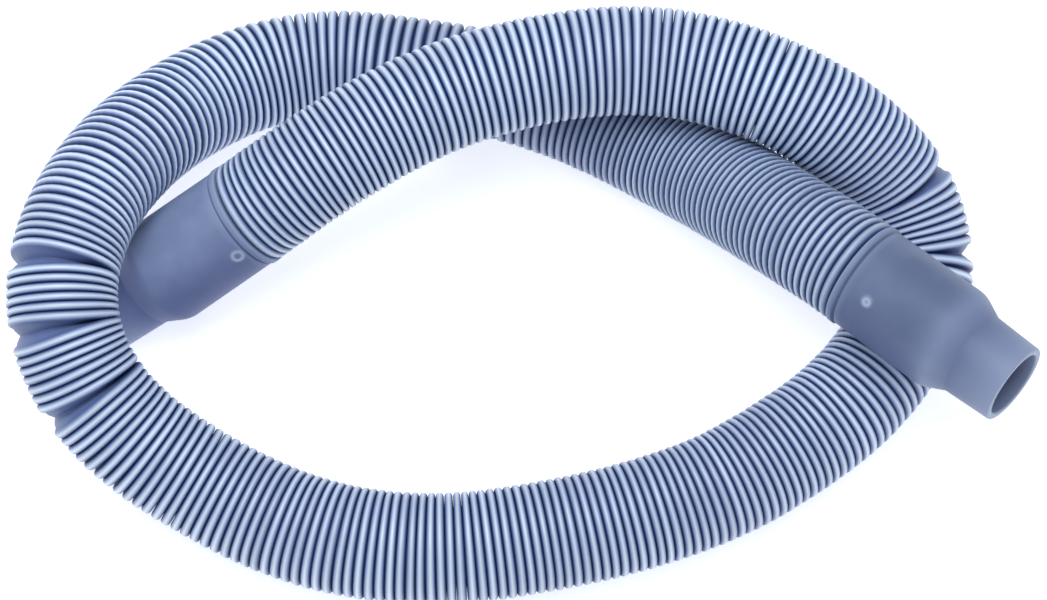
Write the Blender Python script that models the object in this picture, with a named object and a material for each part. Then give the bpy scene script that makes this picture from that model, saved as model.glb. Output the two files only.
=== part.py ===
"""Extendable drain hose of a washing machine, pushed short and laid in a loose knot.

Three pieces: the bellows hose and the two moulded cuffs on its ends. Lengths are in metres.
+X is to the viewer's right, -Y is towards the viewer and +Z is up; the table is at Z = 0.
"""
import math

import bmesh
import bpy
import numpy as np
from mathutils import Matrix, Vector

MM = 0.001

# Bellows: a fold is two equal walls that meet in a crest outside and a root inside.
CREST_RADIUS = 15.0 * MM
FOLD_WALL = 5.0 * MM
CLOSED_PITCH = 1.33 * MM
ROOT_WALL = 1.2 * MM
HOSE_SIDES = 8
BORE_STEP = 10.0 * MM

# Plain end of the hose, which sits inside each cuff.
SEAT_DEPTH = 24.0 * MM
SEAT_GAP = 0.3 * MM
PLAIN_END_WALL = 1.4 * MM
THROAT_LENGTH = 2.5 * MM

# Cuffs, from the hose towards the nose.
CUFF_STEP = 0.4 * MM
CUFF_WALL = 2.6 * MM
CUFF_FLARE = 0.2 * MM
LIP_WIDTH = 2.0 * MM
LIP_GROOVE = 0.4 * MM
BODY_LENGTH = 33.3 * MM
SHOULDER_RADIUS = 8.0 * MM
CONE_LENGTH = 4.5 * MM
SPIGOT_LENGTH = 13.7 * MM
SPIGOT_RADIUS = 11.8 * MM
SPIGOT_TAPER = 0.5 * MM
SPIGOT_WALL = 2.6 * MM
RIM_ROUNDING = 0.6 * MM
CUFF_SIDES = 32
ARC_STEPS = 4

# How the knot lies: the hose's centreline from the left cuff to the right one, in hose
# radii, as X, Y and the lift above a hose that lies on the table. Chosen by hand.
ROUTE = (
    (-4.93, 1.12, 1.38), (-4.16, 1.53, 1.78), (-3.16, 2.13, 2.04), (-2.12, 2.72, 2.14),
    (-1.10, 3.18, 2.16), (-0.07, 3.50, 2.18), (0.87, 3.69, 2.18), (1.81, 3.78, 2.16),
    (2.79, 3.72, 2.14), (3.75, 3.53, 2.10), (4.72, 3.18, 2.01), (5.66, 2.73, 1.71),
    (6.32, 2.27, 1.28), (6.84, 1.77, 0.79), (7.12, 1.16, 0.42), (7.19, 0.50, 0.16),
    (7.04, -0.16, 0.03), (6.61, -1.03, 0.00), (5.62, -2.19, 0.00), (4.74, -2.86, 0.00),
    (3.60, -3.55, 0.00), (2.42, -4.03, 0.00), (1.24, -4.37, 0.00), (0.11, -4.60, 0.00),
    (-1.04, -4.76, 0.00), (-2.20, -4.76, 0.00), (-3.36, -4.58, 0.00), (-4.59, -4.16, 0.03),
    (-5.80, -3.57, 0.23), (-6.68, -3.06, 0.54), (-7.38, -2.50, 0.92), (-7.85, -1.89, 1.31),
    (-8.10, -1.25, 1.64), (-8.17, -0.58, 1.86), (-8.09, 0.12, 1.96), (-7.85, 0.91, 1.93),
    (-7.45, 1.81, 1.63), (-6.93, 2.72, 1.11), (-6.18, 3.66, 0.48), (-5.28, 4.33, 0.13),
    (-4.35, 4.69, 0.01), (-3.27, 4.79, 0.00), (-2.19, 4.67, 0.00), (-1.12, 4.49, 0.00),
    (-0.05, 4.20, 0.00), (0.95, 3.81, 0.02), (1.92, 3.29, 0.10), (2.67, 2.77, 0.27),
    (3.35, 2.21, 0.59), (3.97, 1.61, 0.99), (4.47, 1.09, 1.34), (4.96, 0.60, 1.63),
    (5.44, 0.16, 1.82), (5.97, -0.31, 1.94),
)
LEFT_CUFF_HEADING = 203.8
RIGHT_CUFF_HEADING = -41.0
RIGHT_CUFF_RISE = 5.0

# How far the folds stand open along the hose: the share of its length, and the distance
# between crests there, in closed pitches. Chosen by hand.
FOLD_PITCHES = (
    (0.00, 1.4), (0.04, 1.6), (0.08, 2.0), (0.17, 2.0), (0.20, 1.7), (0.23, 1.6), (0.25, 2.1),
    (0.31, 1.8), (0.37, 1.7), (0.42, 1.8), (0.52, 1.9), (0.54, 2.1), (0.58, 2.1), (0.60, 2.0),
    (0.62, 1.9), (0.64, 1.8), (0.67, 1.6), (0.68, 2.1), (0.72, 2.7), (0.79, 2.0), (0.81, 2.4),
    (0.85, 2.3), (0.88, 1.8), (0.93, 1.7), (0.96, 1.6), (1.00, 1.6),
)

# Folds that have popped open on the outside of the tight bends: the share of the hose's
# length at which each lies, its width on the centreline and how much wider it is opened on
# the outside of the bend, both in fold walls.
POPPED_FOLDS = (
    (0.244, 0.90, 0.50), (0.268, 0.66, 0.72), (0.291, 0.66, 0.58),
    (0.603, 0.86, 0.56), (0.626, 0.62, 0.92), (0.645, 0.66, 0.72),
)
POP_REACH = 11.0 * MM
POP_SHARPNESS = 2.4

ROOT_RADIUS = CREST_RADIUS - math.sqrt(FOLD_WALL ** 2 - (CLOSED_PITCH / 2) ** 2)
BORE_RADIUS = ROOT_RADIUS - ROOT_WALL
BODY_RADIUS = CREST_RADIUS - CUFF_STEP
SOCKET_RADIUS = BODY_RADIUS - CUFF_WALL
PLAIN_END_RADIUS = SOCKET_RADIUS - SEAT_GAP
CUFF_LENGTH = BODY_LENGTH + CONE_LENGTH + SPIGOT_LENGTH


def clear_scene():
    """Remove whatever the new file starts with."""
    for item in list(bpy.data.objects):
        bpy.data.objects.remove(item, do_unlink=True)


def direction(heading, rise):
    """Unit vector for a heading in plan and a rise above level, both in degrees."""
    flat = math.cos(math.radians(rise))
    return Vector((flat * math.cos(math.radians(heading)), flat * math.sin(math.radians(heading)),
                   math.sin(math.radians(rise))))


def left_cuff_rise(start_height):
    """Rise in degrees at which the left cuff's nose just rests its rim on the table."""
    rise = 0.0
    rounding_centre = SPIGOT_RADIUS - SPIGOT_TAPER - RIM_ROUNDING
    for _ in range(40):
        rim_height = rounding_centre * math.cos(rise) + RIM_ROUNDING
        rise = -math.asin((start_height - rim_height) / (CUFF_LENGTH - RIM_ROUNDING))
    return math.degrees(rise)


class Route:
    """A smooth line through points, clamped to a direction at each end, measured by its length."""

    SAMPLES_PER_SPAN = 60

    def __init__(self, points, start_direction, end_direction):
        knots = np.concatenate([[0.0], np.cumsum(np.linalg.norm(np.diff(points, axis=0), axis=1))])
        bends = self._solve_bends(points, knots, start_direction, end_direction)
        spans = [self._span(points, knots, bends, i) for i in range(len(points) - 1)]
        self.points = np.concatenate([span[0] for span in spans] + [points[-1:]])
        slopes = np.concatenate([span[1] for span in spans] + [[end_direction]])
        steps = np.linalg.norm(np.diff(self.points, axis=0), axis=1)
        self.distance = np.concatenate([[0.0], np.cumsum(steps)])
        self.length = self.distance[-1]
        self.tangents = slopes / np.linalg.norm(slopes, axis=1)[:, None]
        turns = np.linalg.norm(np.diff(self.tangents, axis=0), axis=1)
        self.turning = np.concatenate([[0.0], np.cumsum(turns)])

    @staticmethod
    def _solve_bends(points, knots, start_direction, end_direction):
        """Second derivatives of the clamped cubic spline at its points."""
        gaps = np.diff(knots)
        slopes = np.diff(points, axis=0) / gaps[:, None]
        count = len(points)
        matrix = np.zeros((count, count))
        right = np.zeros((count, 3))
        matrix[0, :2] = 2 * gaps[0], gaps[0]
        right[0] = 6 * (slopes[0] - start_direction)
        matrix[-1, -2:] = gaps[-1], 2 * gaps[-1]
        right[-1] = 6 * (end_direction - slopes[-1])
        for i in range(1, count - 1):
            matrix[i, i - 1:i + 2] = gaps[i - 1], 2 * (gaps[i - 1] + gaps[i]), gaps[i]
            right[i] = 6 * (slopes[i] - slopes[i - 1])
        return np.linalg.solve(matrix, right)

    def _span(self, points, knots, bends, i):
        """Points and slopes of the spline from point i up to, and without, point i + 1."""
        gap = knots[i + 1] - knots[i]
        ahead = np.linspace(0.0, gap, self.SAMPLES_PER_SPAN, endpoint=False)[:, None]
        behind = gap - ahead
        start = points[i] / gap - bends[i] * gap / 6
        end = points[i + 1] / gap - bends[i + 1] * gap / 6
        curve = (bends[i] * behind ** 3 + bends[i + 1] * ahead ** 3) / (6 * gap)
        slope = (bends[i + 1] * ahead ** 2 - bends[i] * behind ** 2) / (2 * gap)
        return curve + start * behind + end * ahead, slope + end - start

    def place(self, at):
        """Point at a distance along the route, on its straight ends where that is past them."""
        inside = min(max(at, 0.0), self.length)
        point = [np.interp(inside, self.distance, self.points[:, k]) for k in range(3)]
        return np.array(point) + self.heading(inside) * (at - inside)

    def heading(self, at):
        """Unit tangent at a distance along the route."""
        tangent = np.array([np.interp(at, self.distance, self.tangents[:, k]) for k in range(3)])
        return tangent / np.linalg.norm(tangent)

    def turned(self, at):
        """Angle in radians through which the route has turned by a distance."""
        return np.interp(at, self.distance, self.turning)


class Bellows:
    """Folds along a route, nearly shut, with some popped open on the outside of the bends."""

    def __init__(self, route):
        self.route = route
        self.pops = [(share * route.length, width * FOLD_WALL, opening * FOLD_WALL)
                     for share, width, opening in POPPED_FOLDS]

    def _reach(self, index, side):
        """How far a popped fold crowds its neighbours on one side of it."""
        neighbour = index + side
        if 0 <= neighbour < len(self.pops):
            return min(POP_REACH, abs(self.pops[neighbour][0] - self.pops[index][0]) / 2)
        return POP_REACH

    def crests(self):
        """Distances of all crests along the route."""
        fine = np.linspace(0.0, self.route.length, 4000)
        bend = np.gradient(self.route.turned(fine), fine) * CREST_RADIUS
        opened = np.interp(fine / self.route.length, *zip(*FOLD_PITCHES))
        folds_per_metre = 1 / (CLOSED_PITCH * np.maximum(opened, 1 / (1 - bend)))
        steps = np.diff(fine) * (folds_per_metre[:-1] + folds_per_metre[1:]) / 2
        folds = np.concatenate([[0.0], np.cumsum(steps)])
        first = SEAT_GAP + CLOSED_PITCH
        edges = [first]
        for centre, width, _ in self.pops:
            edges += [centre - width / 2, centre + width / 2]
        edges.append(self.route.length - first)
        places = []
        for start, end in zip(edges[::2], edges[1::2]):
            begin, finish = np.interp([start, end], fine, folds)
            count = max(1, round(finish - begin))
            places += list(np.interp(np.linspace(begin, finish, count + 1), folds, fine))
        return places

    def push(self, at, outward):
        """How far the popped folds push one side of a crest along the route."""
        pushed = 0.0
        for index, (centre, width, opening) in enumerate(self.pops):
            side = 1 if at > centre else -1
            reach = self._reach(index, side)
            away = abs(at - centre)
            if away < reach:
                inside = self.route.heading(centre + width) - self.route.heading(centre - width)
                facing = (1 - outward.dot(Vector(inside).normalized())) / 2
                fading = (reach - away) / (reach - width / 2)
                pushed += side * opening / 2 * facing ** POP_SHARPNESS * fading
        return pushed


def radials(heading, sides):
    """Unit vectors square to a heading, the first one as near to straight down as it can be."""
    heading = Vector(heading)
    side = heading.cross(Vector((0, 0, 1))).normalized()
    down = heading.cross(side).normalized()
    turns = [2 * math.pi * k / sides for k in range(sides)]
    return [down * math.cos(turn) + side * math.sin(turn) for turn in turns]


def ring(centre, heading, radius, sides):
    """Polygon round a centre, square to a heading, with a corner straight below."""
    return [Vector(centre) + radius * outward for outward in radials(heading, sides)]


def root_between(before, after):
    """Root between two crest corners, given with their outward directions, as deep as two walls reach."""
    (one, one_outward), (other, other_outward) = before, after
    depth = math.sqrt(FOLD_WALL ** 2 - ((one - other).length / 2) ** 2)
    return (one + other) / 2 - (one_outward + other_outward).normalized() * depth


def skin(name, rings):
    """Closed solid through rings of equal size, the last one joined back to the first."""
    work = bmesh.new()
    loops = [[work.verts.new(corner) for corner in loop] for loop in rings]
    for loop, following in zip(loops, loops[1:] + loops[:1]):
        for k in range(len(loop)):
            nxt = (k + 1) % len(loop)
            work.faces.new((loop[k], loop[nxt], following[nxt], following[k]))
    bmesh.ops.recalc_face_normals(work, faces=work.faces)
    if work.calc_volume(signed=True) < 0:
        bmesh.ops.reverse_faces(work, faces=work.faces)
    mesh = bpy.data.meshes.new(name)
    work.to_mesh(mesh)
    work.free()
    mesh.shade_smooth()
    node = bpy.data.objects.new(name, mesh)
    bpy.context.scene.collection.objects.link(node)
    return node


def hose_rings(route):
    """Rings of the hose: outside from the left end to the right one, then the bore back."""
    bellows = Bellows(route)
    outside = [ring(route.place(-SEAT_DEPTH), route.heading(0), PLAIN_END_RADIUS, HOSE_SIDES),
               ring(route.place(SEAT_GAP), route.heading(0), PLAIN_END_RADIUS, HOSE_SIDES)]
    previous = None
    for at in bellows.crests():
        place, heading = Vector(route.place(at)), Vector(route.heading(at))
        crest = [(place + outward * CREST_RADIUS + heading * bellows.push(at, outward), outward)
                 for outward in radials(heading, HOSE_SIDES)]
        if previous:
            outside.append([root_between(*pair) for pair in zip(previous, crest)])
        outside.append([corner for corner, _ in crest])
        previous = crest
    end = route.length
    outside += [ring(route.place(end - SEAT_GAP), route.heading(end), PLAIN_END_RADIUS, HOSE_SIDES),
                ring(route.place(end + SEAT_DEPTH), route.heading(end), PLAIN_END_RADIUS, HOSE_SIDES)]
    return outside + bore_rings(route)


def bore_rings(route):
    """Rings of the bore, from the right end back to the left one."""
    wide = PLAIN_END_RADIUS - PLAIN_END_WALL
    throat = THROAT_LENGTH / 2
    end = route.length
    count = round((end - 2 * throat) / BORE_STEP)
    stations = [(end + SEAT_DEPTH, wide), (end + throat, wide)]
    stations += [(at, BORE_RADIUS) for at in np.linspace(end - throat / 2, throat / 2, count + 1)]
    stations += [(-throat, wide), (-SEAT_DEPTH, wide)]
    return [ring(route.place(at), route.heading(min(max(at, 0), end)), radius, HOSE_SIDES)
            for at, radius in stations]


def arc(centre, radius, start, end, steps):
    """Points of an arc in the profile plane, angles in degrees from the axis direction."""
    turns = np.radians(np.linspace(start, end, steps + 1))
    return [(centre[0] + radius * math.cos(turn), centre[1] + radius * math.sin(turn))
            for turn in turns]


def cuff_profile():
    """Closed outline of a cuff as (place along the axis, radius), from its lip to its socket."""
    flared = BODY_RADIUS + CUFF_FLARE
    cone_end = BODY_LENGTH + CONE_LENGTH
    slope = math.degrees(math.atan2(flared - SPIGOT_RADIUS, CONE_LENGTH))
    tip_radius = SPIGOT_RADIUS - SPIGOT_TAPER
    bore = SPIGOT_RADIUS - SPIGOT_WALL
    lip_end = LIP_WIDTH + LIP_GROOVE
    outline = [(0.0, CREST_RADIUS), (LIP_WIDTH, CREST_RADIUS),
               (LIP_WIDTH + LIP_GROOVE / 2, BODY_RADIUS - LIP_GROOVE), (lip_end, BODY_RADIUS)]
    outline += arc((BODY_LENGTH - SHOULDER_RADIUS / 2, flared - SHOULDER_RADIUS), SHOULDER_RADIUS,
                   90, 90 - slope, ARC_STEPS)
    outline.append((cone_end, SPIGOT_RADIUS))
    outline += arc((CUFF_LENGTH - RIM_ROUNDING, tip_radius - RIM_ROUNDING), RIM_ROUNDING, 90, 0, 2)
    outline += arc((CUFF_LENGTH - RIM_ROUNDING, bore + RIM_ROUNDING), RIM_ROUNDING, 0, -90, 2)
    outline += [(cone_end, bore), (BODY_LENGTH, SOCKET_RADIUS - PLAIN_END_WALL),
                (SEAT_DEPTH + SEAT_GAP, SOCKET_RADIUS - PLAIN_END_WALL),
                (SEAT_DEPTH + SEAT_GAP, SOCKET_RADIUS), (0.0, SOCKET_RADIUS)]
    return outline


def add_cuff(name, place, facing):
    """One cuff with its origin at the hose's end and its local X axis towards the nose."""
    rings = [ring((along, 0, 0), (1, 0, 0), radius, CUFF_SIDES) for along, radius in cuff_profile()]
    cuff = skin(name, rings)
    side = facing.cross(Vector((0, 0, 1))).normalized()
    turn = Matrix((facing, -side, facing.cross(-side))).transposed()
    cuff.matrix_world = Matrix.Translation(place) @ turn.to_4x4()
    return cuff


def plastic(name, colour, roughness):
    """Plain plastic in one colour."""
    material = bpy.data.materials.new(name)
    material.use_nodes = True
    shader = material.node_tree.nodes["Principled BSDF"]
    shader.inputs["Base Color"].default_value = (*colour, 1.0)
    shader.inputs["Roughness"].default_value = roughness
    material.diffuse_color = (*colour, 1.0)
    return material


def centre_on_table(nodes):
    """Move the nodes so that their common box stands on the table with its middle at the origin."""
    bpy.context.view_layer.update()
    corners = np.array([node.matrix_world @ vertex.co for node in nodes for vertex in node.data.vertices])
    low, high = corners.min(axis=0), corners.max(axis=0)
    shift = Vector(((low[0] + high[0]) / 2, (low[1] + high[1]) / 2, low[2]))
    for node in nodes:
        node.location -= shift


def main():
    """Build the hose and its two cuffs."""
    clear_scene()
    lifts = np.array([0.0, 0.0, CREST_RADIUS])
    points = np.array(ROUTE) * CREST_RADIUS + lifts
    left_facing = direction(LEFT_CUFF_HEADING, left_cuff_rise(points[0][2]))
    right_facing = direction(RIGHT_CUFF_HEADING, RIGHT_CUFF_RISE)
    route = Route(points, -np.array(left_facing), np.array(right_facing))

    hose = skin("bellows_hose", hose_rings(route))
    hose.data.materials.append(plastic("hose_plastic", (0.33, 0.39, 0.62), 0.35))
    left = add_cuff("left_cuff", Vector(points[0]), left_facing)
    left.data.materials.append(plastic("left_cuff_plastic", (0.22, 0.27, 0.42), 0.5))
    right = add_cuff("right_cuff", Vector(points[-1]), right_facing)
    right.data.materials.append(plastic("right_cuff_plastic", (0.22, 0.27, 0.42), 0.5))
    centre_on_table([hose, left, right])


main()
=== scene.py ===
"""Looks of an extendable drain hose: a bellows pushed short, in a loose knot, with two cuffs.

Lengths are in metres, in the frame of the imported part: +X is to the viewer's right, -Y is
towards the viewer and +Z is up from the table.
"""

import logging
import math
from dataclasses import dataclass, field
from enum import Enum

import bmesh
import bpy
import numpy as np
from mathutils import Matrix, Vector


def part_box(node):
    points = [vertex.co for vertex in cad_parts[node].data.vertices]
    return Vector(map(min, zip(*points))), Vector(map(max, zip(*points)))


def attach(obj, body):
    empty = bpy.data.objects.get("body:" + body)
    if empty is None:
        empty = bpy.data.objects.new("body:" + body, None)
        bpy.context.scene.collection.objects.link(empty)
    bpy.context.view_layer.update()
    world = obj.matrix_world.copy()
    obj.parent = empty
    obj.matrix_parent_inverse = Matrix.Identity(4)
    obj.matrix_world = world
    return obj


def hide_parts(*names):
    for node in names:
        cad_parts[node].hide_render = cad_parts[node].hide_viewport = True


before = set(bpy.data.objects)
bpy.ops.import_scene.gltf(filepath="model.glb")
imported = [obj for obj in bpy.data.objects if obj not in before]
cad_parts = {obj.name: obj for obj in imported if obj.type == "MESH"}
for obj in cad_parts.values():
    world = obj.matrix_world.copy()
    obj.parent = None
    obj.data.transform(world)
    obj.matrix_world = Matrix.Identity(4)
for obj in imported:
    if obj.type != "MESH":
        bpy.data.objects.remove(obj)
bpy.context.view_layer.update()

MM = 0.001
ROOT_BODY = "root"
PHOTO_WIDTH = 1047
UP = Vector((0.0, 0.0, 1.0))
LEFT_CUFF_HEADING = 203.8
RIGHT_CUFF_HEADING = -41.0
RIGHT_CUFF_RISE = 5.0
SETTLING_ROUNDS = 40

# How the knot lies: the hose's centreline from the left cuff to the right one, in hose
# radii, as X, Y and the lift above a hose that lies on the table.
ROUTE = (
    (-4.93, 1.12, 1.38), (-4.16, 1.53, 1.78), (-3.16, 2.13, 2.04), (-2.12, 2.72, 2.14),
    (-1.10, 3.18, 2.16), (-0.07, 3.50, 2.18), (0.87, 3.69, 2.18), (1.81, 3.78, 2.16),
    (2.79, 3.72, 2.14), (3.74, 3.49, 2.13), (4.70, 3.13, 2.04), (5.63, 2.69, 1.72),
    (6.32, 2.27, 1.28), (6.84, 1.77, 0.79), (7.12, 1.16, 0.42), (7.19, 0.50, 0.16),
    (7.04, -0.16, 0.03), (6.61, -1.03, 0.00), (5.62, -2.19, 0.00), (4.74, -2.86, 0.00),
    (3.60, -3.55, 0.00), (2.42, -4.03, 0.00), (1.24, -4.37, 0.00), (0.11, -4.60, 0.00),
    (-1.04, -4.76, 0.00), (-2.20, -4.76, 0.00), (-3.36, -4.58, 0.00), (-4.59, -4.16, 0.03),
    (-5.80, -3.57, 0.23), (-6.68, -3.06, 0.54), (-7.38, -2.50, 0.92), (-7.85, -1.89, 1.31),
    (-8.10, -1.25, 1.64), (-8.17, -0.58, 1.86), (-8.09, 0.12, 1.96), (-7.85, 0.91, 1.93),
    (-7.45, 1.81, 1.63), (-6.93, 2.72, 1.11), (-6.18, 3.66, 0.48), (-5.28, 4.33, 0.13),
    (-4.35, 4.69, 0.01), (-3.27, 4.79, 0.00), (-2.19, 4.67, 0.00), (-1.12, 4.49, 0.00),
    (-0.05, 4.20, 0.00), (0.95, 3.81, 0.02), (1.92, 3.29, 0.10), (2.67, 2.77, 0.27),
    (3.35, 2.21, 0.59), (3.97, 1.61, 0.99), (4.47, 1.09, 1.34), (4.96, 0.60, 1.63),
    (5.44, 0.16, 1.82), (5.97, -0.31, 1.94),
)

# How far the folds stand open along the hose: the share of its length, and the distance
# between crests there, in closed pitches.
FOLD_PITCHES = (
    (0.00, 1.4), (0.04, 1.6), (0.08, 2.0), (0.17, 2.0), (0.20, 1.7), (0.23, 1.6), (0.25, 2.1),
    (0.31, 1.8), (0.37, 1.7), (0.42, 1.8), (0.52, 1.9), (0.54, 2.1), (0.58, 2.1), (0.60, 2.0),
    (0.62, 1.9), (0.64, 1.8), (0.67, 1.6), (0.68, 2.1), (0.72, 2.7), (0.79, 2.0), (0.81, 2.4),
    (0.85, 2.3), (0.88, 1.8), (0.93, 1.7), (0.96, 1.6), (1.00, 1.6),
)

# Folds that have popped open on the outside of the tight bends: the share of the hose's
# length at which each lies, its width on the centreline and how much wider it is opened on
# the outside of the bend, both in fold walls.
POPPED_FOLDS = (
    (0.244, 0.90, 0.50), (0.268, 0.66, 0.72), (0.291, 0.66, 0.58),
    (0.603, 0.86, 0.56), (0.626, 0.62, 0.92), (0.645, 0.66, 0.72),
)

# Strength of the painted highlights and shade on the film's folds along the hose, from 0, dull, to 1,
# full, by the share of its length.
FILM_TONES = ((0.00, 0.75), (0.08, 0.85), (0.20, 0.92), (0.30, 0.98), (0.36, 0.80), (0.46, 0.74),
              (0.52, 0.80), (0.60, 0.80), (0.67, 0.97), (0.76, 0.95), (0.83, 0.54), (0.94, 0.54),
              (1.00, 0.60))

Colour = tuple[float, float, float]
log = logging.getLogger("drain_hose")


class End(Enum):
    """The two ends of the hose, by the CAD node of the cuff there."""

    LEFT = "left_cuff"
    RIGHT = "right_cuff"


def unit(vectors: np.ndarray) -> np.ndarray:
    """Vectors scaled to length one.

    Args:
        vectors: Any array whose last axis holds X, Y and Z.

    Returns:
        The same array with each vector at length one.
    """
    return vectors / np.linalg.norm(vectors, axis=-1, keepdims=True)


def direction(heading: float, rise: float) -> Vector:
    """Unit vector for a heading in plan and a rise above level.

    Args:
        heading: Degrees from +X towards +Y.
        rise: Degrees above level.

    Returns:
        The unit vector.
    """
    flat = math.cos(math.radians(rise))
    return Vector((flat * math.cos(math.radians(heading)), flat * math.sin(math.radians(heading)),
                   math.sin(math.radians(rise))))


def arc(centre: tuple[float, float], radius: float, start: float, end: float,
        steps: int) -> list[tuple[float, float]]:
    """Points of an arc in a profile plane.

    Args:
        centre: Centre of the arc, as place along the axis and radius.
        radius: Radius of the arc.
        start: First angle in degrees, from the axis direction.
        end: Last angle in degrees.
        steps: Number of steps between the two.

    Returns:
        The points, first to last.
    """
    turns = np.radians(np.linspace(start, end, steps + 1))
    return [(centre[0] + radius * math.cos(turn), centre[1] + radius * math.sin(turn))
            for turn in turns]


def ring_point(along: float, radius: float, turn: float) -> Vector:
    """Point on a ring round the X axis.

    Args:
        along: Place along the axis.
        radius: Radius of the ring.
        turn: Angle in radians from +Z towards +Y.

    Returns:
        The point.
    """
    return Vector((along, radius * math.sin(turn), radius * math.cos(turn)))


def spin_profile(points: list[tuple[float, float]], sides: int) -> bmesh.types.BMesh:
    """Turn a closed outline round the X axis into a ring-shaped body.

    Args:
        points: Outline as (place along X, radius), the last point joined back to the first.
        sides: Number of steps in the full turn.

    Returns:
        The turned body.
    """
    work = bmesh.new()
    corners = [work.verts.new((along, radius, 0.0)) for along, radius in points]
    edges = [work.edges.new((corner, following))
             for corner, following in zip(corners, corners[1:] + corners[:1])]
    bmesh.ops.spin(work, geom=corners + edges, cent=(0, 0, 0), axis=(1, 0, 0), dvec=(0, 0, 0),
                   angle=2 * math.pi, steps=sides, use_merge=True)
    return work


def finish_mesh(work: bmesh.types.BMesh, name: str, sharp: float | None = None) -> bpy.types.Object:
    """Turn a bmesh into a linked, smooth-shaded object at the origin.

    Args:
        work: The finished bmesh, which is freed.
        name: Name of the object and its mesh.
        sharp: Angle in degrees past which an edge stays sharp, or None for no sharp edges.

    Returns:
        The new object.
    """
    bmesh.ops.recalc_face_normals(work, faces=work.faces)
    if work.calc_volume(signed=True) < 0:
        bmesh.ops.reverse_faces(work, faces=work.faces)
    mesh = bpy.data.meshes.new(name)
    work.to_mesh(mesh)
    work.free()
    mesh.shade_smooth()
    if sharp is not None:
        mesh.set_sharp_from_angle(angle=math.radians(sharp))
    piece = bpy.data.objects.new(name, mesh)
    bpy.context.scene.collection.objects.link(piece)
    return piece


class NodeTree:
    """A node tree that is wired by short calls."""

    def __init__(self, tree: bpy.types.NodeTree) -> None:
        """Keep the tree."""
        self.tree = tree

    def add(self, kind: str, inputs: dict | None = None, **settings) -> bpy.types.Node:
        """Add a node.

        Args:
            kind: The node's type name.
            inputs: Values or output sockets by input name or number.
            settings: Attributes of the node itself.

        Returns:
            The new node.
        """
        node = self.tree.nodes.new(kind)
        for key, value in settings.items():
            setattr(node, key, value)
        for key, value in (inputs or {}).items():
            if isinstance(value, bpy.types.NodeSocket):
                self.tree.links.new(value, node.inputs[key])
            else:
                node.inputs[key].default_value = value
        return node

    def link(self, output: bpy.types.NodeSocket, target: bpy.types.NodeSocket) -> None:
        """Link an output to an input."""
        self.tree.links.new(output, target)

    def ramp(self, value: bpy.types.NodeSocket,
             stops: tuple[tuple[float, Colour], ...]) -> bpy.types.NodeSocket:
        """Colour ramp over a value.

        Args:
            value: The value's socket.
            stops: Places from 0 to 1 with their linear colours.

        Returns:
            The colour's socket.
        """
        node = self.add("ShaderNodeValToRGB", {"Fac": value})
        elements = node.color_ramp.elements
        while len(elements) < len(stops):
            elements.new(0.5)
        for element, (place, colour) in zip(elements, stops):
            element.position = place
            element.color = (*colour, 1.0)
        return node.outputs["Color"]

    def mix(self, share: bpy.types.NodeSocket, colour: bpy.types.NodeSocket,
            over: Colour) -> bpy.types.NodeSocket:
        """Mix a colour towards a fixed one.

        Args:
            share: Socket of the fixed colour's share.
            colour: The first colour's socket.
            over: The fixed colour, linear.

        Returns:
            The mixed colour's socket.
        """
        node = self.add("ShaderNodeMix", {"Factor": share, 6: colour, 7: (*over, 1.0)}, data_type="RGBA")
        return node.outputs[2]

    def attribute(self, name: str) -> bpy.types.NodeSocket:
        """Value of an attribute of the mesh."""
        return self.add("ShaderNodeAttribute", attribute_name=name).outputs["Fac"]

    def mottle(self, cloud_scale: float, grain_scale: float, grain_depth: float) -> bpy.types.Node:
        """Place the shared mottle group.

        Args:
            cloud_scale: Scale of the cloudy tone.
            grain_scale: Scale of the fine grain.
            grain_depth: Strength of the grain's bump.

        Returns:
            The group node.
        """
        return self.add("ShaderNodeGroup", {"Cloud Scale": cloud_scale, "Grain Scale": grain_scale,
                                            "Grain Depth": grain_depth}, node_tree=mottle_group())


def mottle_group() -> bpy.types.NodeTree:
    """Shared effect: the cloudy tone and fine grain of moulded plastic.

    Returns:
        The node group, with Cloud Scale, Grain Scale and Grain Depth as inputs, and Cloud,
        from 0 to 1, and Normal as outputs.
    """
    name = "moulded_mottle"
    if name in bpy.data.node_groups:
        return bpy.data.node_groups[name]
    group = bpy.data.node_groups.new(name, "ShaderNodeTree")
    for label, default in (("Cloud Scale", 60.0), ("Grain Scale", 1500.0), ("Grain Depth", 0.1)):
        socket = group.interface.new_socket(name=label, in_out="INPUT", socket_type="NodeSocketFloat")
        socket.default_value = default
    group.interface.new_socket(name="Cloud", in_out="OUTPUT", socket_type="NodeSocketFloat")
    group.interface.new_socket(name="Normal", in_out="OUTPUT", socket_type="NodeSocketVector")
    nodes = NodeTree(group)
    given = nodes.add("NodeGroupInput")
    place = nodes.add("ShaderNodeTexCoord").outputs["Object"]
    cloud = nodes.add("ShaderNodeTexNoise", {"Vector": place, "Scale": given.outputs["Cloud Scale"],
                                             "Detail": 3.0, "Roughness": 0.55})
    grain = nodes.add("ShaderNodeTexNoise", {"Vector": place, "Scale": given.outputs["Grain Scale"],
                                             "Detail": 2.0})
    bump = nodes.add("ShaderNodeBump", {"Strength": given.outputs["Grain Depth"],
                                        "Distance": 0.1 * MM, "Height": grain.outputs["Fac"]})
    nodes.add("NodeGroupOutput", {"Cloud": cloud.outputs["Fac"], "Normal": bump.outputs["Normal"]})
    return group


def new_material(name: str) -> tuple[bpy.types.Material, NodeTree, bpy.types.Node]:
    """Start a material.

    Args:
        name: The material's name.

    Returns:
        The material, its node tree and its Principled shader.
    """
    material = bpy.data.materials.new(name)
    material.use_nodes = True
    return material, NodeTree(material.node_tree), material.node_tree.nodes["Principled BSDF"]


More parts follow.
